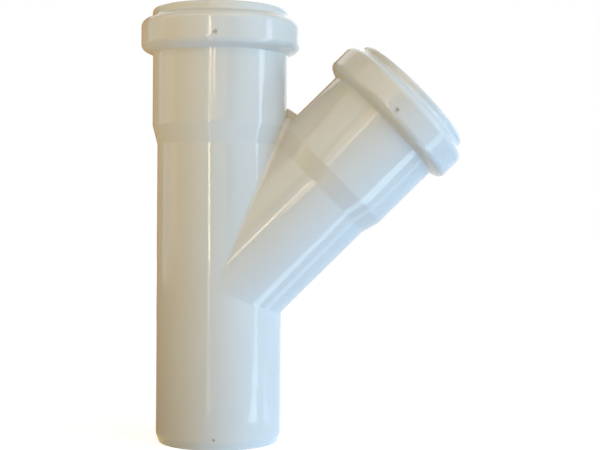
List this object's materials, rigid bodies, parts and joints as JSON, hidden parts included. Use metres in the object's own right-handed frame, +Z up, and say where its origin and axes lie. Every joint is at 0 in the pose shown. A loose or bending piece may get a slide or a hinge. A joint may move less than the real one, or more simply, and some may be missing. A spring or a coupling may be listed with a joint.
{
  "type": "45 degree push-fit pipe branch",
  "caption": "White plastic lateral wye for push-fit waste pipe: a straight run with a spigot and a ring-seal socket, and a 45 degree side branch with a socket.",
  "frame": {"origin": "centre of the ring face at the spigot's end, on the run's axis", "axes": "+Z up the run towards its socket, +X towards the side that the branch leans to, +Y across both"},
  "size_m": [0.1284, 0.0636, 0.1728],
  "materials": {
    "white_polypropylene": "glossy moulded, white",
    "seal_rubber": "matt moulded, black"
  },
  "bodies": {
    "root": {"wye_body": "white_polypropylene", "run_seal_ring": "seal_rubber", "branch_seal_ring": "seal_rubber"}
  },
  "joints": []
}
